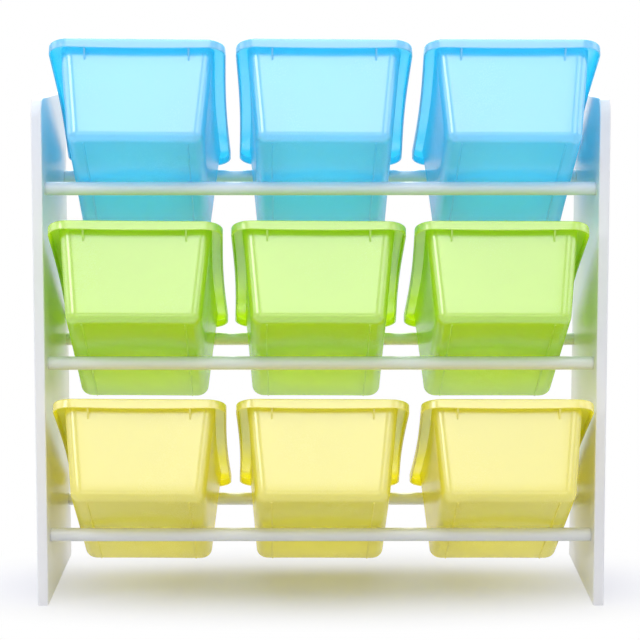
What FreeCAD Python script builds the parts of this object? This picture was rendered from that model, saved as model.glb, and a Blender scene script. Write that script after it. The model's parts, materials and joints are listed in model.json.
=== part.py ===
import FreeCAD
import Part
import math
import os

os.makedirs("parts", exist_ok=True)

# Toy storage rack for a child's room, in millimetres.
# Two painted board sides are tied together by six round tube rails, two to a tier.
# Each tier carries a row of open plastic bins.  A bin's bottom lies on the rear rail
# and its front wall leans on the front rail, so the bins tilt and their mouths face
# up and forwards.
# +Z is up and +Y points to the front, where the mouths face.  -X is the left side
# as seen from the rear.  The origin is on the floor, in the middle of the overall box.

# ---------------------------------------------------------------- driving dimensions

# Bin: a tapered open box with a flat lip around its mouth and a skirt under the lip
bin_bottom_length = 258.0
bin_bottom_width = 148.0     # at the front end
bin_bottom_narrowing = 2.0   # how much narrower it is at the rear end
bin_height = 107.6
bin_wall = 2.0
rear_wall_draft = 7.0        # degrees
front_wall_draft = 6.2       # degrees
side_wall_draft = 5.6        # degrees
bin_corner_radius = 14.0
bin_bottom_round = 10.0
lip_width = 12.0
lip_thickness = 2.0
lip_corner_radius = 22.0
lip_edge_round = 1.5
skirt_depth = 10.0
skirt_wall = 1.8
runner_spacing = 112.0
runner_width = 2.0
runner_height = 1.5
gusset_spacing = 112.0
gusset_width = 2.0
gusset_drop = 9.0            # how far a gusset reaches below the skirt
gusset_reach = 10.0          # how far it stands out from the wall, under the lip

# How the bins sit in the rack
columns = 3
bin_tilt = 28.3              # degrees, front end down
bin_gap = 7.9                # between neighbouring lips, and between a lip and a side
stack_gap = 63.6             # room between a lip and the bin above, square to the slope
floor_gap = 11.5             # from the floor to the lowest edge of the bottom row
front_rail_drop = 17.0       # from the skirt's lower edge down to the front rail's axis
rest_clearance = 0.3         # air left where a bin rests on a rail
bin_travel = 300.0           # how far a bin is drawn up the slope to take it out

# Loose bins never stand quite evenly: the shift of each bin from its even place,
# left to right, and how far each column's bins are turned on the slope, in degrees
tiers = {
    "top": (0.0, 2.0, 5.5),
    "middle": (-4.0, -4.0, -3.5),
    "bottom": (-1.0, 0.5, 4.5),
}
column_names = ("left", "centre", "right")
column_turns = (1.0, 0.7, 0.3)

# Rack
panel_thickness = 12.0
panel_top_rise = 101.0       # from the top rails' axis to the panels' top edge
rear_rail_setback = 30.0     # from the panels' rear edge to the rear rail's axis
front_rail_setback = 20.0    # from the front rail's axis to the panels' front edge
panel_corner_radius = 20.0
panel_edge_round = 1.5
rail_diameter = 15.0
rail_wall = 1.2

# Rail fixings: a threaded plug in each rail end, a flat-headed bolt and a cap over it
plug_length = 20.0
plug_flange = 1.0
plug_flange_inset = 0.3
plug_slack = 0.1             # on the radius, inside the tube
bolt_diameter = 6.0
bolt_slack = 0.1             # on the radius, in the plug's thread
bolt_hole_slack = 0.3        # on the radius, in the panel
bolt_grip = 15.0             # how far the bolt reaches into the plug
bolt_head_diameter = 13.0
bolt_head_thickness = 2.5
hex_key = 4.0
hex_depth = 3.5
recess_diameter = 15.0
recess_depth = 5.0
cap_diameter = 18.0
cap_proud = 1.2
cap_stem_length = 2.0
cap_stem_slack = 0.1         # on the radius
cap_round = 0.8

# ---------------------------------------------------------------- derived sizes

tilt = math.radians(bin_tilt)
rear_lean = math.tan(math.radians(rear_wall_draft))
front_lean = math.tan(math.radians(front_wall_draft))
side_lean = math.tan(math.radians(side_wall_draft))
rail_radius = rail_diameter / 2

# The bottom's width at its rear end, and the lip's outer size
bin_bottom_rear_width = bin_bottom_width - bin_bottom_narrowing
lip_rear = -bin_height * rear_lean - lip_width
lip_front = bin_bottom_length + bin_height * front_lean + lip_width
lip_spread = 2 * (bin_height * side_lean + lip_width)
lip_rear_width = bin_bottom_rear_width + lip_spread
lip_front_width = bin_bottom_width + lip_spread

# The slope's own directions, in the rack's Y and Z: along the bin and square to it
along = FreeCAD.Vector(0, math.cos(tilt), -math.sin(tilt))
square = FreeCAD.Vector(0, math.sin(tilt), math.cos(tilt))

# The bottom's outer face lies above the rear rail's axis by the runners' height
bottom_rise = rail_radius + rest_clearance + runner_height
front_contact = bin_height - skirt_depth - front_rail_drop
rail_spacing = (front_contact + bottom_rise) / math.sin(tilt)

# From the rear rail's axis, down the slope to the bin's bottom front edge
wall_angle = math.radians(front_wall_draft)
wall_offset = (rail_radius + rest_clearance) / math.cos(wall_angle)
front_edge = rail_spacing * math.cos(tilt) - wall_offset - front_contact * front_lean
rear_edge = front_edge - bin_bottom_length

# Heights: the bottom row's front edge clears the floor, and each tier clears the one below
front_edge_drop = front_edge * math.sin(tilt) - bottom_rise * math.cos(tilt)
bottom_rail_height = floor_gap + front_edge_drop
tier_pitch = (bin_height + runner_height + stack_gap) / math.cos(tilt)
tier_order = ("bottom", "middle", "top")
rail_heights = {name: bottom_rail_height + level * tier_pitch
                for level, name in enumerate(tier_order)}

# The rack is as wide as its row of bins needs
bin_pitch = max(lip_rear_width, lip_front_width) + bin_gap
inner_width = columns * bin_pitch + bin_gap
rack_width = inner_width + 2 * panel_thickness
panel_height = rail_heights["top"] + panel_top_rise
rear_rail_y = rear_rail_setback
front_rail_y = rear_rail_setback + rail_spacing
panel_depth = front_rail_y + front_rail_setback


# ---------------------------------------------------------------- shape helpers

def rounded_outline(corners, radius, height):
    """A closed wire through a convex outline's corners, each one rounded."""
    points = [FreeCAD.Vector(x, y, height) for x, y in corners]
    starts, middles, ends = [], [], []
    for i, corner in enumerate(points):
        back = (points[i - 1] - corner).normalize()
        ahead = (points[(i + 1) % len(points)] - corner).normalize()
        half_angle = back.getAngle(ahead) / 2
        reach = radius / math.tan(half_angle)
        inward = (back + ahead).normalize()
        starts.append(corner + back * reach)
        middles.append(corner + inward * (radius / math.sin(half_angle) - radius))
        ends.append(corner + ahead * reach)
    edges = []
    for i in range(len(points)):
        edges.append(Part.Arc(starts[i], middles[i], ends[i]).toShape())
        following = starts[(i + 1) % len(points)]
        edges.append(Part.LineSegment(ends[i], following).toShape())
    return Part.Wire(edges)


def bin_outline(height, inset, radius, at_height=None):
    """The bin's outline at a height above its bottom, drawn in by inset."""
    rear = -height * rear_lean + inset
    front = bin_bottom_length + height * front_lean - inset
    rear_half = bin_bottom_rear_width / 2 + height * side_lean - inset
    front_half = bin_bottom_width / 2 + height * side_lean - inset
    corners = [(-rear_half, rear), (rear_half, rear), (front_half, front), (-front_half, front)]
    return rounded_outline(corners, radius, height if at_height is None else at_height)


def slab(wire, thickness):
    """A plate with the wire as its lower outline."""
    return Part.Face(wire).extrude(FreeCAD.Vector(0, 0, thickness))


def rounded_edges_at(solid, height, radius):
    """The solid with the edges that lie at one height rounded."""
    edges = [e for e in solid.Edges
             if abs(e.BoundBox.ZMin - height) < 1e-3 and abs(e.BoundBox.ZMax - height) < 1e-3]
    return solid.makeFillet(radius, edges)


def cylinder_x(radius, x_from, x_to, y, z):
    """A round bar along X."""
    return Part.makeCylinder(radius, x_to - x_from, FreeCAD.Vector(x_from, y, z),
                             FreeCAD.Vector(1, 0, 0))


# ---------------------------------------------------------------- bin

def bin_body():
    """The tapered shell, open at the top."""
    outer = Part.makeLoft([bin_outline(0, 0, bin_corner_radius),
                           bin_outline(bin_height, 0, bin_corner_radius)], True, True)
    outer = rounded_edges_at(outer, 0, bin_bottom_round)
    inner_radius = bin_corner_radius - bin_wall
    inner = Part.makeLoft([bin_outline(bin_wall, bin_wall, inner_radius),
                           bin_outline(bin_height + bin_wall, bin_wall, inner_radius)], True, True)
    inner = rounded_edges_at(inner, bin_wall, bin_bottom_round - bin_wall)
    return outer, inner


def bin_lip():
    """The flat lip with the skirt hanging from its outer edge."""
    skirt_foot = bin_height - skirt_depth
    block = slab(bin_outline(bin_height, -lip_width, lip_corner_radius, skirt_foot), skirt_depth)
    block = rounded_edges_at(block, bin_height, lip_edge_round)
    hollow = slab(bin_outline(bin_height, skirt_wall - lip_width, lip_corner_radius - skirt_wall,
                              skirt_foot), skirt_depth - lip_thickness)
    return block.cut(hollow)


def gusset(x, wall_y, lean, outward):
    """A thin web in the corner under the lip.  outward is -1 at the rear and 1 at the front."""
    top = bin_height - lip_thickness / 2
    foot = bin_height - skirt_depth - gusset_drop
    root = bin_wall / 2
    profile = [
        (wall_y + outward * (foot * lean - root), foot),
        (wall_y + outward * foot * lean, foot),
        (wall_y + outward * (bin_height * lean + gusset_reach), bin_height - skirt_depth),
        (wall_y + outward * (bin_height * lean + gusset_reach), top),
        (wall_y + outward * (top * lean - root), top),
    ]
    points = [FreeCAD.Vector(x - gusset_width / 2, y, z) for y, z in profile]
    face = Part.Face(Part.makePolygon(points + points[:1]))
    return face.extrude(FreeCAD.Vector(gusset_width, 0, 0))


def runner(x):
    """A low rib along the underside, on which the bin slides over the rear rail."""
    start = bin_bottom_round
    length = bin_bottom_length - 2 * bin_bottom_round
    foot = FreeCAD.Vector(x - runner_width / 2, start, -runner_height)
    return Part.makeBox(runner_width, length, runner_height + bin_wall / 2, foot)


def make_bin():
    """One bin, in its own frame: X across, Y from its rear bottom edge, Z from its bottom."""
    outer, inner = bin_body()
    details = [bin_lip()]
    for side in (-1, 1):
        details.append(runner(side * runner_spacing / 2))
        details.append(gusset(side * gusset_spacing / 2, 0, rear_lean, -1))
        details.append(gusset(side * gusset_spacing / 2, bin_bottom_length, front_lean, 1))
    solid = outer.multiFuse(details).cut(inner)
    return solid.removeSplitter()


def turned_reach(turn):
    """How much further a turned bin's front wall would reach, at the front rail."""
    flat_half = bin_bottom_width / 2 + front_contact * side_lean - bin_corner_radius
    return flat_half * math.sin(math.radians(abs(turn)))


def placed_bin(shape, x, turn, rail_height):
    """A bin set on the rails of one tier."""
    middle = FreeCAD.Vector(0, bin_bottom_length / 2, 0)
    turned = FreeCAD.Placement(FreeCAD.Vector(), FreeCAD.Rotation(FreeCAD.Vector(0, 0, 1), turn),
                               middle)
    rear_rail = FreeCAD.Vector(x, rear_rail_y, rail_height)
    corner = rear_rail + square * bottom_rise + along * (rear_edge - turned_reach(turn))
    tilted = FreeCAD.Placement(corner, FreeCAD.Rotation(FreeCAD.Vector(1, 0, 0), -bin_tilt))
    copy = shape.copy()
    copy.Placement = tilted.multiply(turned)
    return copy


# ---------------------------------------------------------------- rack

rail_places = [(y, z) for z in rail_heights.values() for y in (rear_rail_y, front_rail_y)]


def side_panel(side):
    """A side board with its top corners rounded, drilled for the rail bolts."""
    inner_face = side * inner_width / 2
    outer_face = side * rack_width / 2
    left = min(inner_face, outer_face)
    r = panel_corner_radius
    diagonal = r * (1 - math.cos(math.pi / 4))
    v = FreeCAD.Vector
    edges = [
        Part.LineSegment(v(left, 0, 0), v(left, 0, panel_height - r)),
        Part.Arc(v(left, 0, panel_height - r), v(left, diagonal, panel_height - diagonal),
                 v(left, r, panel_height)),
        Part.LineSegment(v(left, r, panel_height), v(left, panel_depth - r, panel_height)),
        Part.Arc(v(left, panel_depth - r, panel_height),
                 v(left, panel_depth - diagonal, panel_height - diagonal),
                 v(left, panel_depth, panel_height - r)),
        Part.LineSegment(v(left, panel_depth, panel_height - r), v(left, panel_depth, 0)),
        Part.LineSegment(v(left, panel_depth, 0), v(left, 0, 0)),
    ]
    outline = Part.Wire([edge.toShape() for edge in edges])
    board = Part.Face(outline).extrude(v(panel_thickness, 0, 0))
    face_edges = [e for e in board.Edges if e.BoundBox.XLength < 1e-3]
    board = board.makeFillet(panel_edge_round, face_edges)
    hole_radius = bolt_diameter / 2 + bolt_hole_slack
    recess_bottom = outer_face - side * recess_depth
    for y, z in rail_places:
        hole = cylinder_x(hole_radius, left - 1, left + panel_thickness + 1, y, z)
        recess = cylinder_x(recess_diameter / 2, min(recess_bottom, outer_face + side),
                            max(recess_bottom, outer_face + side), y, z)
        board = board.cut(hole.fuse(recess))
    return board


def rail(y, z):
    """A round tube between the flanges of its two end plugs."""
    reach = inner_width / 2 - plug_flange
    tube = cylinder_x(rail_radius, -reach, reach, y, z)
    return tube.cut(cylinder_x(rail_radius - rail_wall, -reach - 1, reach + 1, y, z))


def along_side(side, near, far):
    """Two distances from the inner face, towards the middle, as an X range on one side."""
    ends = (side * (inner_width / 2 - near), side * (inner_width / 2 - far))
    return min(ends), max(ends)


def end_plug(side, y, z):
    """The threaded plug in a rail's end, with a thin flange against the board."""
    flange = cylinder_x(rail_radius - plug_flange_inset, *along_side(side, 0, plug_flange), y, z)
    body = cylinder_x(rail_radius - rail_wall - plug_slack,
                      *along_side(side, 0, plug_flange + plug_length), y, z)
    bore = cylinder_x(bolt_diameter / 2 + bolt_slack,
                      *along_side(side, -1, plug_flange + plug_length + 1), y, z)
    return flange.fuse(body).cut(bore).removeSplitter()


def rail_bolt(side, y, z):
    """A flat-headed bolt through the board into the plug, with a hexagon socket."""
    seat = recess_depth - panel_thickness
    head_top = seat - bolt_head_thickness
    shank = cylinder_x(bolt_diameter / 2, *along_side(side, seat, bolt_grip), y, z)
    head = cylinder_x(bolt_head_diameter / 2, *along_side(side, head_top, seat), y, z)
    corner_radius = hex_key / 2 / math.cos(math.pi / 6)
    mouth = side * (inner_width / 2 - head_top)
    points = [FreeCAD.Vector(mouth, y + corner_radius * math.cos(k * math.pi / 3),
                             z + corner_radius * math.sin(k * math.pi / 3)) for k in range(7)]
    socket = Part.Face(Part.makePolygon(points)).extrude(FreeCAD.Vector(-side * hex_depth, 0, 0))
    return shank.fuse(head).cut(socket).removeSplitter()


def bolt_cap(side, y, z):
    """The push-in cap that hides a bolt on the outer face."""
    face = -panel_thickness
    disc = cylinder_x(cap_diameter / 2, *along_side(side, face - cap_proud, face), y, z)
    outer_x = side * (rack_width / 2 + cap_proud)
    rim = [e for e in disc.Edges
           if e.BoundBox.XLength < 1e-3 and abs(e.BoundBox.XMin - outer_x) < 1e-3]
    disc = disc.makeFillet(cap_round, rim)
    stem = cylinder_x(recess_diameter / 2 - cap_stem_slack,
                      *along_side(side, face, face + cap_stem_length), y, z)
    return disc.fuse(stem).removeSplitter()


# ---------------------------------------------------------------- assembly

nodes = {}
for side, side_name in ((-1, "left"), (1, "right")):
    nodes[side_name + "_side_panel"] = side_panel(side)
    for node, make in (("rail_end_plugs", end_plug), ("rail_bolts", rail_bolt),
                       ("bolt_caps", bolt_cap)):
        pieces = [make(side, y, z) for y, z in rail_places]
        nodes[side_name + "_" + node] = Part.makeCompound(pieces)

for tier, height in rail_heights.items():
    nodes[tier + "_rear_rail"] = rail(rear_rail_y, height)
    nodes[tier + "_front_rail"] = rail(front_rail_y, height)

one_bin = make_bin()
for tier, shifts in tiers.items():
    for column, (column_name, shift, turn) in enumerate(zip(column_names, shifts, column_turns)):
        even_place = (column - (columns - 1) / 2) * bin_pitch
        nodes[tier + "_" + column_name + "_bin"] = placed_bin(
            one_bin, even_place + shift, turn, rail_heights[tier])

# The origin goes to the middle of the overall box, on the floor
boxes = [shape.optimalBoundingBox(False, False) for shape in nodes.values()]
middle_y = (min(b.YMin for b in boxes) + max(b.YMax for b in boxes)) / 2

for name, shape in nodes.items():
    shape.translate(FreeCAD.Vector(0, -middle_y, 0))
    shape.exportStep("parts/" + name + ".step")
    box = shape.optimalBoundingBox(False, False)
    print(f"{name:24s} solids {len(shape.Solids):2d}  valid {shape.isValid()}  "
          f"volume {shape.Volume / 1000:8.1f} cm3  "
          f"x {box.XMin:7.1f} {box.XMax:7.1f}  y {box.YMin:7.1f} {box.YMax:7.1f}  "
          f"z {box.ZMin:6.1f} {box.ZMax:6.1f}")

print(f"rack {rack_width:.1f} wide, panels {panel_depth:.1f} deep and {panel_height:.1f} high")
print(f"rail spacing {rail_spacing:.1f}, tier pitch {tier_pitch:.1f}, rear edge of panels "
      f"at y {-middle_y:.1f}, rear rails at y {rear_rail_y - middle_y:.1f}")
print("rail heights", {name: round(z, 1) for name, z in rail_heights.items()})
print(f"lip {lip_rear_width:.1f} to {lip_front_width:.1f} wide, {lip_front - lip_rear:.1f} long")
for column_name, turn in zip(column_names, column_turns):
    turn_angle = math.radians(turn)
    sideways = math.sin(turn_angle)
    up_slope = FreeCAD.Vector(sideways, 0, 0) - along * math.cos(turn_angle)
    print(f"{column_name} bins slide along {up_slope.x:.6f} {up_slope.y:.6f} {up_slope.z:.6f} "
          f"for {bin_travel:.0f} mm")
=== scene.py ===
# %% [markdown]
# # A nine-bin toy rack, dressed for its picture
# The real rack is two painted boards, six painted tube rails and nine moulded plastic bins
# that lie loosely on the rails.  Its construction is loaded here as a fixed frame, in metres,
# with the floor at zero height.  The cells below give each piece the shape and the surface
# that the eye sees: the soft bow of moulded plastic, the gloss of paint, the studio light.

# %% Load the frame
import json
import math

import bmesh
import bpy
from mathutils import Matrix, Vector


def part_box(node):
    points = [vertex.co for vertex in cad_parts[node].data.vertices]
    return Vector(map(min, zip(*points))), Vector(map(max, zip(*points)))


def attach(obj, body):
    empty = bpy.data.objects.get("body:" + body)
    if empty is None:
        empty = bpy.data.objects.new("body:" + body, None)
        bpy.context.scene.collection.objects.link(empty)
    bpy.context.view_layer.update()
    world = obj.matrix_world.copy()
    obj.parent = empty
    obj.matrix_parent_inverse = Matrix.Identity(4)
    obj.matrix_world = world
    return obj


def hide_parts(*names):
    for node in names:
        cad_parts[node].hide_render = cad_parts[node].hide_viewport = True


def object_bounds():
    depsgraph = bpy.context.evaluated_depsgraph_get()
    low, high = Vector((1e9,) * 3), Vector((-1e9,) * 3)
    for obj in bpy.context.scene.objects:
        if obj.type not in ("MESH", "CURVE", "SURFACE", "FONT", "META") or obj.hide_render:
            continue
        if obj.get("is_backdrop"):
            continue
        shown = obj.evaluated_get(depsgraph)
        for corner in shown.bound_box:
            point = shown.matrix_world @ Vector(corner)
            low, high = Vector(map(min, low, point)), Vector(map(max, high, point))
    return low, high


mm = 0.001
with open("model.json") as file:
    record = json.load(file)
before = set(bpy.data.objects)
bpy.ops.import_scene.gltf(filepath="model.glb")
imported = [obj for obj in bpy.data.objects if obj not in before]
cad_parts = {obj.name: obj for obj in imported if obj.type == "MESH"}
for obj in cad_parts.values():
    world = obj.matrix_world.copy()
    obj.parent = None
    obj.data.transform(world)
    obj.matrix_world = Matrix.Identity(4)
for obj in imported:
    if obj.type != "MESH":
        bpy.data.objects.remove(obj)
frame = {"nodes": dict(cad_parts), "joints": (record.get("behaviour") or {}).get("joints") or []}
cad_low, cad_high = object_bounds()
print("overall size in mm:", [round(side / mm, 1) for side in cad_high - cad_low])

# %% [markdown]
# ## Writing shaders as sums
# A finish such as satin plastic is a few layers of soft noise that steer colour, gloss and a
# very fine relief.  Those layers could be placed by hand in the shader editor, or node by node
# in code, which is long to read.  Here a socket is wrapped so that `0.3 + 0.1 * grain` can be
# written as it is meant, and each other node comes from one method: its settings first, then
# its sockets.

# %% A socket that can be added and multiplied
class Signal:
    """One output socket.  Sums, differences and products with it become Math nodes."""

    def __init__(self, recipe, socket):
        self.recipe = recipe
        self.socket = socket

    def combine(self, operation, first, second):
        return self.recipe.node("ShaderNodeMath", {"operation": operation},
                                {0: first, 1: second})

    def __add__(self, other):
        return self.combine("ADD", self, other)

    def __sub__(self, other):
        return self.combine("SUBTRACT", self, other)

    def __rsub__(self, other):
        return self.combine("SUBTRACT", other, self)

    def __mul__(self, other):
        return self.combine("MULTIPLY", self, other)

    __radd__ = __add__
    __rmul__ = __mul__

    def larger(self, other):
        """This value or the other, whichever is more."""
        return self.combine("MAXIMUM", self, other)


# %% A material recipe
class Recipe:
    """An empty material or world, and the one way in which nodes are added to it."""

    def __init__(self, owner):
        self.owner = owner
        owner.use_nodes = True
        self.tree = owner.node_tree
        self.tree.nodes.clear()

    def node(self, kind, settings, sockets, output=0):
        """Adds a node: its settings first, then a value or a link for each socket."""
        made = self.tree.nodes.new(kind)
        for key, value in settings.items():
            setattr(made, key, value)
        for key, value in sockets.items():
            if isinstance(value, Signal):
                self.tree.links.new(value.socket, made.inputs[key])
            else:
                made.inputs[key].default_value = value
        return Signal(self, made.outputs[output]) if made.outputs else None

    def mix_colours(self, factor, first, second):
        """A Mix node between two colours, which has its colour sockets at 6 and 7."""
        return self.node("ShaderNodeMix", {"data_type": "RGBA"},
                         {0: factor, 6: first, 7: second}, output=2)

    def finish(self, shader, kind="ShaderNodeOutputMaterial"):
        """Links the finished surface and gives back the material or world."""
        self.node(kind, {}, {"Surface": shader})
        print("finish:", self.owner.name, "from", len(self.tree.nodes), "nodes")
        return self.owner


# %% Colours as they look on a screen
def screen_colour(red, green, blue):
    """A colour written from 0 to 255, as the linear light that shaders expect."""
    linear = [(part / 255 / 12.92) if part <= 10 else ((part / 255 + 0.055) / 1.055) ** 2.4
              for part in (red, green, blue)]
    return (*linear, 1.0)


pure_white = (1.0, 1.0, 1.0, 1.0)
print("a mid grey on screen is this much light:", round(screen_colour(128, 128, 128)[0], 3))

# %% [markdown]
# ## Moulded polypropylene
# The bins are thin-walled mouldings in a soft, slightly milky plastic.  Light passes through
# the 2 mm walls, so a wall glows with its own colour where the light is on its other side.
# Glass or volume shaders could do that, but a wall this thin needs only a share of light that
# scatters through: a Translucent shader mixed with a glossy one.  Two sizes of noise break up
# the colour and the gloss, as flow marks do, and a fine relief stands for the tool's texture.
# The rear walls also carry an even, pale sheen.  More light would only bleach the colour, so a
# clear coat gives it.  Its index of 3 is twice that of real plastic: head-on it mirrors a
# quarter of the light, where real plastic mirrors a twenty-fifth, and its roughness spreads the
# image of the big lamps over the wall.

# %% The plastic's values
flow_scale = 11.0
flow_detail = 3.0
flow_breakup = 0.45
grain_scale = 900.0
grain_height = 0.03 * mm
skin_roughness = 0.22
flow_roughness = 0.05
grain_roughness = 0.04
skin_index = 1.52
skin_gloss = 0.9
sheen_index = 3.0
sheen_roughness = 0.23
light_through = 0.55
sheen_share = ((sheen_index - 1) / (sheen_index + 1)) ** 2
print("the coat mirrors this share of light from straight ahead:", sheen_share)


# %% The plastic recipe
def moulded_plastic(name, colour, deeper, through):
    """Plastic with a lighter and a deeper tint, and the tint of light that comes through."""
    recipe = Recipe(bpy.data.materials.new(name))
    place = recipe.node("ShaderNodeTexCoord", {}, {}, output="Object")
    flow = recipe.node("ShaderNodeTexNoise", {}, {
        "Vector": place, "Scale": flow_scale, "Detail": flow_detail, "Roughness": flow_breakup})
    grain = recipe.node("ShaderNodeTexNoise", {}, {
        "Vector": place, "Scale": grain_scale, "Detail": 1.0})
    relief = recipe.node("ShaderNodeBump", {}, {
        "Strength": 0.5, "Distance": grain_height, "Height": grain})
    skin = recipe.node("ShaderNodeBsdfPrincipled", {}, {
        "Base Color": recipe.mix_colours(flow, colour, deeper),
        "Roughness": skin_roughness + flow_roughness * flow + grain_roughness * grain,
        "IOR": skin_index,
        "Specular IOR Level": skin_gloss,
        "Coat Weight": 1.0,
        "Coat Roughness": sheen_roughness,
        "Coat IOR": sheen_index,
        "Normal": relief})
    glow = recipe.node("ShaderNodeBsdfTranslucent", {}, {"Color": through, "Normal": relief})
    return recipe.finish(recipe.node("ShaderNodeMixShader", {}, {
        0: light_through, 1: skin, 2: glow}))


# %% The three colours of bin
plastic_tints = {
    "top": ("sky_blue_plastic", (152, 218, 247), (143, 213, 244), (106, 230, 250)),
    "middle": ("lime_green_plastic", (212, 237, 92), (205, 233, 84), (228, 250, 28)),
    "bottom": ("lemon_yellow_plastic", (247, 241, 140), (244, 237, 131), (254, 248, 56)),
}
bin_finishes = {}
for tier, (slot_name, *tints) in plastic_tints.items():
    plastic = moulded_plastic(slot_name, *[screen_colour(*tint) for tint in tints])
    bin_finishes[tier] = (slot_name, plastic)

# %% [markdown]
# ## Paint on board and on tube
# The sides are white painted boards: smooth, with the faint ripple that a roller or a spray
# leaves, and glossy enough to pick up the colours of the bins beside them.  The rails are
# powder-coated steel, a little cooler in tint, glossier and finer in ripple.  Both could be
# one plain white, but a flat white looks cut out.  So one recipe gives them a ripple in the
# relief, and a slow drift in tint and gloss.  With less gloss and an even finer ripple, it is
# also the white plastic of the bolt caps and the milky plastic of the plugs in the rails.

# %% The paint recipe
drift_scale = 4.0
drift_roughness = 0.05
paint_index = 1.5


def white_paint(name, tint, deeper, roughness, ripple_scale, ripple_height):
    """Paint or plastic between two near whites, with a ripple of its own size and height."""
    recipe = Recipe(bpy.data.materials.new(name))
    place = recipe.node("ShaderNodeTexCoord", {}, {}, output="Object")
    ripple = recipe.node("ShaderNodeTexNoise", {}, {
        "Vector": place, "Scale": ripple_scale, "Detail": 2.0})
    drift = recipe.node("ShaderNodeTexNoise", {}, {"Vector": place, "Scale": drift_scale})
    relief = recipe.node("ShaderNodeBump", {}, {
        "Strength": 0.4, "Distance": ripple_height, "Height": ripple})
    return recipe.finish(recipe.node("ShaderNodeBsdfPrincipled", {}, {
        "Base Color": recipe.mix_colours(drift, tint, deeper),
        "Roughness": roughness + drift_roughness * drift,
        "IOR": paint_index,
        "Normal": relief}))


# %% Four whites
board_paint = white_paint(
    "white_painted_board", screen_colour(245, 245, 247), screen_colour(240, 240, 243),
    roughness=0.3, ripple_scale=260.0, ripple_height=0.03 * mm)
tube_paint = white_paint(
    "white_painted_tube", screen_colour(245, 247, 251), screen_colour(240, 243, 248),
    roughness=0.2, ripple_scale=420.0, ripple_height=0.02 * mm)
cap_plastic = white_paint(
    "white_plastic", screen_colour(236, 236, 234), screen_colour(230, 230, 228),
    roughness=0.34, ripple_scale=700.0, ripple_height=0.02 * mm)
plug_plastic = white_paint(
    "milky_plastic", screen_colour(228, 230, 234), screen_colour(218, 221, 226),
    roughness=0.45, ripple_scale=700.0, ripple_height=0.02 * mm)

# %% [markdown]
# ## Zinc on the bolts
# The bolts sit under caps, but a maker would still see them on the bench: bright zinc over
# steel, with a fine mottled grain.  A metal needs no base gloss of its own, only a roughness
# that varies, so noise drives the colour and the roughness together.

# %% The zinc recipe
mottle_scale = 800.0
zinc_roughness = 0.26
mottle_roughness = 0.2


def zinc_plate(name):
    """Bright metal with a fine mottle in its tint and its roughness."""
    recipe = Recipe(bpy.data.materials.new(name))
    place = recipe.node("ShaderNodeTexCoord", {}, {}, output="Object")
    mottle = recipe.node("ShaderNodeTexNoise", {}, {"Vector": place, "Scale": mottle_scale})
    return recipe.finish(recipe.node("ShaderNodeBsdfPrincipled", {}, {
        "Base Color": recipe.mix_colours(mottle, screen_colour(214, 216, 220),
                                         screen_colour(176, 180, 188)),
        "Metallic": 1.0,
        "Roughness": zinc_roughness + mottle_roughness * mottle}))


zinc = zinc_plate("zinc_steel")

# %% [markdown]
# ## The boards, plugs and bolts keep their own shapes
# These pieces are cut, drilled and turned, and their frame shapes are already right down to
# the rounded edges.  Modelling them again would only risk moving them, so they stay, and get
# the new finishes.

# %% Finish the pieces that stay
kept_finishes = {"side_panel": board_paint, "rail_end_plugs": plug_plastic, "rail_bolts": zinc}
for side in ("left", "right"):
    for part, finish in kept_finishes.items():
        node = frame["nodes"][side + "_" + part]
        for slot in node.material_slots:
            slot.material = finish
        print(node.name, "now in", finish.name)

# %% [markdown]
# ## One bin, ring by ring
# A bin is a tapered box with rounded corners, a flat lip round its mouth and a skirt under the
# lip.  A subdivided cube would need many holding edges to keep its walls true.  Here the
# surface is laid up like a potter's coils instead: each ring is the bin's rounded outline at
# one height, and faces join each ring to the next, from the middle of the outer bottom, up the
# wall, over the lip and down to the middle of the inner bottom.
# Sizes are in metres, in the bin's own axes: x across, s from its rear bottom edge, h up.

# %% The bin's sizes
bottom_length = 258.0 * mm
bottom_rear_half = 73.0 * mm
bottom_front_half = 74.0 * mm
bin_height = 107.6 * mm
wall = 2.0 * mm
rear_lean = math.tan(math.radians(7.0))
front_lean = math.tan(math.radians(6.2))
side_lean = math.tan(math.radians(5.6))
corner_radius = 14.0 * mm
bottom_round = 10.0 * mm
lip_width = 12.0 * mm
lip_thickness = 2.0 * mm
lip_corner_radius = 22.0 * mm
lip_round = 1.5 * mm
skirt_depth = 10.0 * mm
skirt_wall = 1.8 * mm
small_round = 0.5 * mm
lip_rear = -bin_height * rear_lean - lip_width
lip_front = bottom_length + bin_height * front_lean + lip_width
print("a bin is", round((lip_front - lip_rear) / mm, 1), "mm long over its lip")

# %% One ring
corner_steps = 10
end_steps = 14
side_steps = 20


def ring(height, inset, radius, level=None):
    """The bin's outline at a height, drawn in by inset, as (x, s, h) points.

    The corners have the given radius.  A level puts the same outline at another height."""
    rear = -height * rear_lean + inset
    front = bottom_length + height * front_lean - inset
    rear_half = bottom_rear_half + height * side_lean - inset
    front_half = bottom_front_half + height * side_lean - inset
    corners = [(-rear_half, rear), (rear_half, rear), (front_half, front), (-front_half, front)]
    centres = [Vector((x - math.copysign(radius, x), s + (radius if i < 2 else -radius)))
               for i, (x, s) in enumerate(corners)]
    h = height if level is None else level
    points = []
    for i, centre in enumerate(centres):
        start = math.radians(180 + 90 * i)
        arc = [centre + radius * Vector((math.cos(start + turn), math.sin(start + turn)))
               for turn in (math.radians(90 * k / corner_steps) for k in range(corner_steps + 1))]
        leaving = start + math.radians(90)
        reach = radius * Vector((math.cos(leaving), math.sin(leaving)))
        following = centres[(i + 1) % 4] + reach
        steps = end_steps if i % 2 == 0 else side_steps
        straight = [arc[-1].lerp(following, k / steps) for k in range(1, steps)]
        points += [(x, s, h) for x, s in arc + straight]
    return points


print("points in a ring:", len(ring(0.0, 0.0, corner_radius)))

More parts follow.
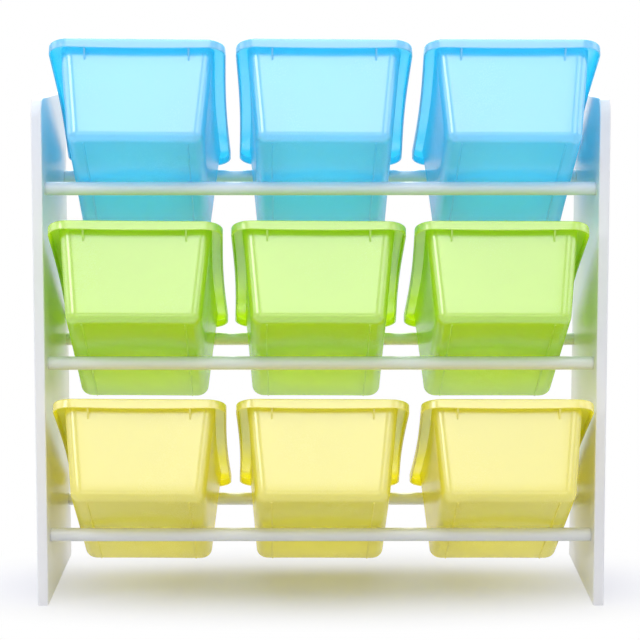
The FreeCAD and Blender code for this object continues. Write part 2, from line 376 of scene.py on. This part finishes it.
# %% [markdown]
# The rings follow the section of the moulding.  A quarter round is a run of rings whose inset
# and height follow the sine and cosine of an angle.  The flat bottom is rings that shrink
# towards its middle, so that it can be domed later.

# %% Rings of the bottom and the outer wall
round_steps = 7
wall_steps = 9
bottom_shares = (0.15, 0.3, 0.45, 0.6, 0.75, 0.9)


def shrunk(points, share):
    """A ring drawn in towards the middle of the bottom."""
    return [(x * share, bottom_length / 2 + (s - bottom_length / 2) * share, h)
            for x, s, h in points]


def quarter(steps):
    """Sine and cosine of the angles of a quarter round, from 0 to 90 degrees."""
    angles = [math.radians(90 * k / steps) for k in range(steps + 1)]
    return [(math.sin(a), math.cos(a)) for a in angles]


def outer_rings():
    """From the middle of the outer bottom, up the wall to the underside of the lip."""
    foot = ring(0.0, bottom_round, corner_radius - bottom_round)
    rings = [shrunk(foot, share) for share in bottom_shares]
    for sine, cosine in quarter(round_steps):
        inset = bottom_round * (1 - sine)
        rings.append(ring(bottom_round * (1 - cosine), inset, corner_radius - inset))
    top = bin_height - lip_thickness - small_round
    for k in range(1, wall_steps + 1):
        height = bottom_round + (top - bottom_round) * k / wall_steps
        rings.append(ring(height, 0.0, corner_radius))
    return rings


# %% Rings of the lip and its skirt
lip_steps = 4


def lip_rings():
    """Under the lip, down the inside of the skirt, round its foot, up and over the lip."""
    under = bin_height - lip_thickness
    foot = bin_height - skirt_depth
    hollow = skirt_wall - lip_width
    hollow_radius = lip_corner_radius - skirt_wall
    rings = [ring(bin_height, -2 * small_round, corner_radius, under),
             ring(bin_height, hollow + small_round, hollow_radius - small_round, under),
             ring(bin_height, hollow, hollow_radius, under - small_round),
             ring(bin_height, hollow, hollow_radius, foot + small_round)]
    middle = -lip_width + skirt_wall / 2
    rings += [ring(bin_height, middle + skirt_wall / 4, hollow_radius, foot),
              ring(bin_height, middle - skirt_wall / 4, lip_corner_radius, foot),
              ring(bin_height, -lip_width, lip_corner_radius, foot + small_round),
              ring(bin_height, -lip_width, lip_corner_radius, (foot + bin_height) / 2)]
    for sine, cosine in quarter(lip_steps):
        rings.append(ring(bin_height, -lip_width + lip_round * (1 - cosine),
                          lip_corner_radius - lip_round * (1 - cosine),
                          bin_height - lip_round * (1 - sine)))
    return rings


# %% Rings of the inside
inner_round = bottom_round - wall


def inner_rings():
    """Round the mouth's edge, down the inner wall and over the inner bottom."""
    radius = corner_radius - wall
    rings = [ring(bin_height, wall - small_round, corner_radius),
             ring(bin_height, wall, radius, bin_height - small_round)]
    low = wall + inner_round
    for k in range(1, wall_steps + 1):
        height = bin_height + (low - bin_height) * k / wall_steps
        rings.append(ring(height, wall, radius))
    for sine, cosine in quarter(round_steps)[1:]:
        inset = inner_round * (1 - cosine)
        rings.append(ring(wall + inner_round * (1 - sine), wall + inset, radius - inset))
    return rings + [shrunk(rings[-1], share) for share in reversed(bottom_shares)]


print("rings:", len(outer_rings()), "outside,", len(lip_rings()), "round the lip and",
      len(inner_rings()), "inside")

# %% [markdown]
# ## What cooling does to a moulding
# No real bin is as true as its drawing.  As it cools, its long sides draw in a little at
# mid-length, the bottom domes upwards, and the rear skirt hangs slightly deeper in the middle.
# Each is only one to two and a half millimetres, yet they bend every highlight and reflection.
# They could be sculpted by hand, but a rule that moves each point by its place is exact, and a
# few named sizes change it for all nine bins.

# %% Bow the sides and dome the bottom
side_bow = 2.4 * mm
bottom_dome = 2.2 * mm
dome_fades_at = 3 * bottom_round
skirt_sag = 1.3 * mm
skirt_top = bin_height - lip_thickness


def cooled(point):
    """A drawn point moved to where the cooled moulding has it."""
    x, s, h = point
    along_share = min(max(s / bottom_length, 0.0), 1.0)
    mid_length = math.sin(math.pi * along_share)
    height_share = min(max(h / bin_height, 0.0), 1.0)
    half = bottom_rear_half + h * side_lean
    across_share = min(abs(x) / half, 1.0)
    x -= math.copysign(side_bow * mid_length * height_share * across_share, x)
    low_share = max(0.0, 1 - h / dome_fades_at)
    flat_share = min(abs(x) / (bottom_rear_half - bottom_round), 1.0)
    h += bottom_dome * mid_length * low_share * (1 - flat_share ** 2)
    if s < -bin_height * rear_lean and h < skirt_top:
        h -= skirt_sag * (1 - across_share ** 2)
    return x, s, h


print("the bottom's middle rises", round(cooled((0.0, bottom_length / 2, 0.0))[2] / mm, 1), "mm")


# %% Join rows of points
def join_rows(mesh, rows, close_ends=False):
    """Faces from each closed row of points to the next, and over both ends if asked."""
    count = len(rows[0])
    for near, far in zip(rows, rows[1:]):
        for k in range(count):
            after = (k + 1) % count
            mesh.faces.new((near[k], near[after], far[after], far[k]))
    if close_ends:
        mesh.faces.new(rows[0])
        mesh.faces.new(rows[-1][::-1])


# %% The shell from its rings
def add_shell(mesh):
    """Adds the bin's closed shell to a bmesh."""
    rings = outer_rings() + lip_rings() + inner_rings()
    rows = [[mesh.verts.new(cooled(point)) for point in points] for points in rings]
    join_rows(mesh, rows)
    outer_middle = mesh.verts.new(cooled((0.0, bottom_length / 2, 0.0)))
    inner_middle = mesh.verts.new(cooled((0.0, bottom_length / 2, wall)))
    count = len(rows[0])
    for k in range(count):
        after = (k + 1) % count
        mesh.faces.new((rows[0][after], rows[0][k], outer_middle))
        mesh.faces.new((rows[-1][k], rows[-1][after], inner_middle))


# %% [markdown]
# ## Runners and gussets
# Two low ribs run along the underside, so that the bin slides on thin lines instead of its
# whole bottom, and small webs brace the lip at both ends.  They could be left as loose blocks
# that sink into the wall, but hidden faces would stay inside it.  So each is a closed prism
# that starts inside the wall, and a Boolean union makes it one skin with the shell, as the
# mould does.

# %% A prism from a row of outlines
def add_prism(mesh, outlines):
    """A closed solid through equal outlines, one after the other."""
    rows = [[mesh.verts.new(point) for point in outline] for outline in outlines]
    join_rows(mesh, rows, close_ends=True)


# %% Runners
rib_reach = 56.0 * mm
runner_half = 1.0 * mm
runner_height = 1.5 * mm
runner_round = 0.5 * mm
runner_stations = 16
runner_length = bottom_length - 2 * bottom_round


def add_runner(mesh, x):
    """A rib along the underside, its foot straight and its root inside the domed bottom."""
    outlines = []
    for k in range(runner_stations + 1):
        s = bottom_round + runner_length * k / runner_stations
        ended = k in (0, runner_stations)
        foot = -runner_height + (runner_round if ended else 0.0)
        root = cooled((x, s, wall / 2))[2]
        outlines.append([(x - runner_half, s, root), (x - runner_half, s, foot + runner_round),
                         (x - runner_half / 2, s, foot), (x + runner_half / 2, s, foot),
                         (x + runner_half, s, foot + runner_round), (x + runner_half, s, root)])
    add_prism(mesh, outlines)


print("runner:", round(runner_length / mm, 1), "mm long")

# %% Gussets
gusset_half = 1.0 * mm
gusset_drop = 9.0 * mm
gusset_reach = 10.0 * mm
belly_reach = 0.55 * gusset_reach
belly_drop = 0.35 * gusset_drop


def add_gusset(mesh, x, wall_s, lean, outward):
    """A thin web under the lip.  outward is -1 at the rear and 1 at the front."""
    top = bin_height - lip_thickness / 2
    skirt_foot = bin_height - skirt_depth
    foot = skirt_foot - gusset_drop
    root = wall / 2
    section = [(foot * lean - root, foot), (foot * lean, foot),
               (bin_height * lean + belly_reach, skirt_foot - belly_drop),
               (bin_height * lean + gusset_reach, skirt_foot),
               (bin_height * lean + gusset_reach, top), (top * lean - root, top)]
    add_prism(mesh, [[(x + side * gusset_half, wall_s + outward * s, h) for s, h in section]
                     for side in (-1, 1)])


# %% From a bmesh to a smooth object
sharp_angle = math.radians(38)


def object_from(mesh, name):
    """An object from a bmesh, with its faces turned outwards."""
    bmesh.ops.recalc_face_normals(mesh, faces=mesh.faces)
    data = bpy.data.meshes.new(name)
    mesh.to_mesh(data)
    mesh.free()
    made = bpy.data.objects.new(name, data)
    bpy.context.scene.collection.objects.link(made)
    return made


def shade(data):
    """Smooth shading that keeps the edges sharper than the sharp angle."""
    data.shade_smooth()
    data.set_sharp_from_angle(angle=sharp_angle)


# %% Make a rib one with the moulding
def fuse(moulding, rib):
    """Unites a rib with the moulding's mesh, and removes the rib."""
    union = moulding.modifiers.new("union", "BOOLEAN")
    union.operation = "UNION"
    union.solver = "EXACT"
    union.object = rib
    bpy.context.view_layer.update()
    seen = moulding.evaluated_get(bpy.context.evaluated_depsgraph_get())
    moulding.data = bpy.data.meshes.new_from_object(seen)
    moulding.modifiers.clear()
    bpy.data.objects.remove(rib)


# %% The moulding
shell_mesh = bmesh.new()
add_shell(shell_mesh)
moulding = object_from(shell_mesh, "moulding")
for x in (-rib_reach, rib_reach):
    for add_rib, wall_place in ((add_runner, ()),
                                (add_gusset, (0.0, rear_lean, -1)),
                                (add_gusset, (bottom_length, front_lean, 1))):
        rib_mesh = bmesh.new()
        add_rib(rib_mesh, x, *wall_place)
        fuse(moulding, object_from(rib_mesh, "rib"))
shade(moulding.data)
print("moulding:", len(moulding.data.polygons), "faces")

# %% [markdown]
# ## Nine bins on their slopes
# Each bin lies a little differently, as loose bins do, and the frame already knows how: a
# bin's joint slides it up its own slope, and its solid says where it stands.  Typing nine
# places again could put a bin off its rails, so the new moulding is set on the same axes.  It
# lies where the solid is, and moves with its body.

# %% Find where a bin stands
def bin_stand(name):
    """A bin's own axes and origin as a matrix, from its joint and its solid."""
    joint = next(j for j in frame["joints"] if j["child"] == name)
    along = -Vector(joint["axis"]).normalized()
    tilt = math.atan2(-along.z, along.y)
    square = Vector((0.0, math.sin(tilt), math.cos(tilt)))
    across = along.cross(square).normalized()
    corners = [v.co for v in frame["nodes"][name].data.vertices]
    reach = [corner.dot(across) for corner in corners]
    middle = (min(reach) + max(reach)) / 2
    rear = min(corner.dot(along) for corner in corners)
    top = max(corner.dot(square) for corner in corners)
    origin = across * middle + along * (rear - lip_rear) + square * (top - bin_height)
    stand = Matrix((across, along, square)).transposed().to_4x4()
    stand.translation = origin
    return stand


# %% Set the nine bins
for tier, (slot_name, finish) in bin_finishes.items():
    for column in ("left", "centre", "right"):
        name = tier + "_" + column + "_bin"
        stand = bin_stand(name)
        piece = bpy.data.objects.new(name + "_moulding", moulding.data.copy())
        piece.data.transform(stand)
        piece.data.materials.clear()
        piece.data.materials.append(finish)
        bpy.context.scene.collection.objects.link(piece)
        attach(piece, name)
        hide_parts(name)
        print(piece.name, "at", [round(v / mm, 1) for v in stand.translation])
bpy.data.objects.remove(moulding)

# %% [markdown]
# ## Turned pieces
# Tubes and caps are round, and the eye finds the flats of a coarse circle at once.  A screw
# modifier on a profile would do, but a short lathe in code gives the same thing with nothing
# left to apply: a profile of distances along X and radii, swept round in 64 steps.

# %% The lathe
lathe_steps = 64


def add_turned(mesh, profile, y, z, hollow):
    """Adds a piece turned about an X axis.  A hollow profile closes on itself."""
    turns = [2 * math.pi * k / lathe_steps for k in range(lathe_steps)]
    rows = [[mesh.verts.new((x, y + radius * math.cos(t), z + radius * math.sin(t)))
             for t in turns] for x, radius in profile]
    if hollow:
        join_rows(mesh, rows + rows[:1])
    else:
        join_rows(mesh, rows, close_ends=True)


# %% The rails
rail_radius = 7.5 * mm
rail_bore = 6.3 * mm
rail_chamfer = 0.3 * mm
rail_centres = {}
for tier in bin_finishes:
    for end in ("rear", "front"):
        name = tier + "_" + end + "_rail"
        low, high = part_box(name)
        centre = (low + high) / 2
        rail_centres[name] = (centre.y, centre.z)
        profile = [(low.x, rail_radius - rail_chamfer), (low.x + rail_chamfer, rail_radius),
                   (high.x - rail_chamfer, rail_radius), (high.x, rail_radius - rail_chamfer),
                   (high.x, rail_bore), (low.x, rail_bore)]
        tube_mesh = bmesh.new()
        add_turned(tube_mesh, profile, centre.y, centre.z, hollow=True)
        tube = object_from(tube_mesh, name + "_tube")
        tube.data.materials.append(tube_paint)
        shade(tube.data)
        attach(tube, "rack")
        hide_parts(name)
        print(tube.name, "from", round(low.x / mm, 1), "to", round(high.x / mm, 1), "mm")

# %% [markdown]
# The caps on the outer faces are pushed into the bolt recesses.  Each has a slightly domed
# face with a soft rim, which catches a thin ring of light.  The six caps of one side are one
# object, because they are alike and none of them moves.

# %% The caps
stem_radius = 7.4 * mm
stem_length = 2.0 * mm
# How far out and how wide, in mm: the straight rim, its soft edge and the low dome.
cap_section = [(0.0, 9.0), (0.3, 9.0), (0.62, 8.85), (0.86, 8.5), (1.02, 7.8), (1.12, 6.2),
               (1.18, 3.6), (1.2, 1.0)]
for side, outward in (("left", -1), ("right", 1)):
    low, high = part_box(side + "_side_panel")
    face = high.x if outward > 0 else low.x
    profile = [(face - outward * stem_length, stem_radius), (face, stem_radius)]
    profile += [(face + outward * depth * mm, radius * mm) for depth, radius in cap_section]
    caps_mesh = bmesh.new()
    for y, z in rail_centres.values():
        add_turned(caps_mesh, profile, y, z, hollow=False)
    caps = object_from(caps_mesh, side + "_bolt_covers")
    caps.data.materials.append(cap_plastic)
    shade(caps.data)
    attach(caps, "rack")
    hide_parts(side + "_bolt_caps")
    print(caps.name, "with", len(rail_centres), "caps")

# %% [markdown]
# ## The floor
# A product picture stands on white that has no horizon, and keeps a soft shadow.  Flooding the
# floor with light would burn the object out.  Instead the floor is a plain pale surface that
# mixes towards pure white where it is seen by the camera or in a reflection: fully far from the
# object, and a little under it, which lifts the shadow to the tone of the picture.  The zone
# between is an oval, long along the rack and short across it.  What lights the object is still
# the plain floor.

# %% Who sees a surface
def seen_directly(recipe):
    """One where a surface is seen by the camera, in a reflection or through something clear."""
    camera_ray, glossy_ray, clear_ray = [
        recipe.node("ShaderNodeLightPath", {}, {}, output=name)
        for name in ("Is Camera Ray", "Is Glossy Ray", "Is Transmission Ray")]
    return camera_ray.larger(glossy_ray).larger(clear_ray)


# %% The floor's finish
# Reach of the oval of painted shadow under the rack, along x and y, in metres.
painted_shadow_reach = (0.66, 0.23)
fade_start = 0.1
fade_end = 0.9
shadow_lift = 0.13


def floor_finish(name):
    """Pale floor, pure white to the eye far off, with a painted oval of shadow under the object.
    """
    recipe = Recipe(bpy.data.materials.new(name))
    place = recipe.node("ShaderNodeNewGeometry", {}, {}, output="Position")
    oval = recipe.node("ShaderNodeVectorMath", {"operation": "DIVIDE"}, {
        0: place, 1: (*painted_shadow_reach, 1.0)})
    distance = recipe.node("ShaderNodeVectorMath", {"operation": "LENGTH"}, {0: oval},
                           output="Value")
    far = recipe.node("ShaderNodeMapRange", {"interpolation_type": "SMOOTHSTEP"}, {
        "Value": distance, "From Min": fade_start, "From Max": fade_end})
    # Painted shadow by position: the plain floor shows in the oval, and carries the lamps' real
    # shadow.
    painted_shadow_share = (1 - shadow_lift) * (1 - far)
    # Its cool tint keeps the painted shadow grey beside the yellow bins.
    plain = recipe.node("ShaderNodeBsdfDiffuse", {}, {"Color": screen_colour(216, 217, 230)})
    white = recipe.node("ShaderNodeEmission", {}, {"Color": pure_white})
    return recipe.finish(recipe.node("ShaderNodeMixShader", {}, {
        0: seen_directly(recipe) * (1 - painted_shadow_share), 1: plain, 2: white}))


# %% The floor
floor_half = 6.0
floor_mesh = bmesh.new()
bmesh.ops.create_grid(floor_mesh, x_segments=1, y_segments=1, size=floor_half)
floor = object_from(floor_mesh, "floor")
floor.data.materials.append(floor_finish("pale_floor"))
floor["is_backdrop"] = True
print("floor:", 2 * floor_half, "m square")

# %% [markdown]
# ## Light
# The picture looks as if large soft boxes had lit it, and area lamps stand for them.  The key
# hangs above the camera.  One lamp on its left, one on its right and one high up between the
# camera and the rack join it in making the rear walls and their lips bright.  A low, wide one
# behind the camera opens the shade under the bins, one at each side keeps the boards white,
# and one overhead puts the shadow on the floor.  Two more stand on the far side and shine into
# the bins' mouths: they make the thin plastic glow, and they light the rack for whoever walks
# round it.  The world could do much of this alone, but it would flatten the forms, so it stays
# dim, and is white only where it is seen.

# %% The lamps: place, size in metres and power in watts
aim = Vector((0.0, 0.0, 0.32))
lamps = {
    "key_above_camera": ((0.0, -2.4, 2.12), (1.8, 1.6), 17.0),
    "soft_left": ((-2.05, -1.5, 1.7), (0.8, 1.6), 18.0),
    "soft_right": ((2.0, -1.6, 1.7), (1.2, 1.6), 9.0),
    "side_left": ((-2.6, 0.2, 1.2), (1.6, 1.6), 10.0),
    "side_right": ((2.6, 0.2, 1.2), (1.6, 1.6), 10.0),
    "overhead": ((0.0, -0.2, 2.9), (2.0, 1.6), 16.0),
    "lip_light": ((0.0, -1.25, 2.75), (2.0, 1.0), 9.0),
    "low_fill": ((0.0, -4.2, 0.5), (5.0, 0.9), 14.0),
    "front_high": ((0.0, 1.7, 2.1), (2.2, 1.2), 38.0),
    "front_wide": ((0.0, 2.8, 1.2), (2.6, 1.2), 18.0),
}
for name, (place, size, power) in lamps.items():
    data = bpy.data.lights.new(name, "AREA")
    data.shape = "RECTANGLE"
    data.size, data.size_y = size
    data.energy = power
    lamp = bpy.data.objects.new(name, data)
    bpy.context.scene.collection.objects.link(lamp)
    lamp.location = place
    lamp.rotation_euler = (aim - Vector(place)).to_track_quat("-Z", "Y").to_euler()
    print("lamp:", name, power, "W")

# %% The world
ambient = 0.2
studio = bpy.data.worlds.new("studio")
bpy.context.scene.world = studio
air = Recipe(studio)
seen = seen_directly(air)
air.finish(air.node("ShaderNodeBackground", {}, {
    "Color": pure_white, "Strength": ambient + (1 - ambient) * seen}),
    "ShaderNodeOutputWorld")

# %% [markdown]
# ## Camera
# The picture was taken from behind the rack, from about the height of its top and some two and
# a half metres away, with a long lens.  A camera could be placed by eye, but the slopes would
# never quite line up, so the place below was found by fitting the corners of the boards, the
# rails and the bins to the picture.  The picture's uprights are parallel, as if the lens had
# been shifted, so the camera has a small shift too.

# %% The camera
camera_place = (-0.0060, -2.5503, 0.6579)
camera_turn = 0.12
camera_dip = 6.76
lens_length = 126.34
sensor_width = 36.0
shift_down = -0.06
lens = bpy.data.cameras.new("camera")
lens.sensor_width = sensor_width
lens.lens = lens_length
lens.shift_y = shift_down
camera = bpy.data.objects.new("camera", lens)
bpy.context.scene.collection.objects.link(camera)
camera.location = camera_place
camera.rotation_euler = (math.radians(90 - camera_dip), 0.0, math.radians(-camera_turn))
bpy.context.scene.camera = camera
bpy.context.scene.view_settings.view_transform = "Standard"
print("camera:", lens_length, "mm lens at", camera_place)

# %% [markdown]
# ## Size
# The dressed model's box and the construction's own box are both printed, and how much larger the
# dressed one is. The dressed model has to stay inside the construction's own box, so both are
# written down and compared.

# %% Write down both boxes
seen_low, seen_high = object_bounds()
growth = (seen_high - seen_low) - (cad_high - cad_low)
print("visual size in mm:", [round(side / mm, 1) for side in seen_high - seen_low])
print("larger than the construction by, in mm:", [round(side / mm, 2) for side in growth])
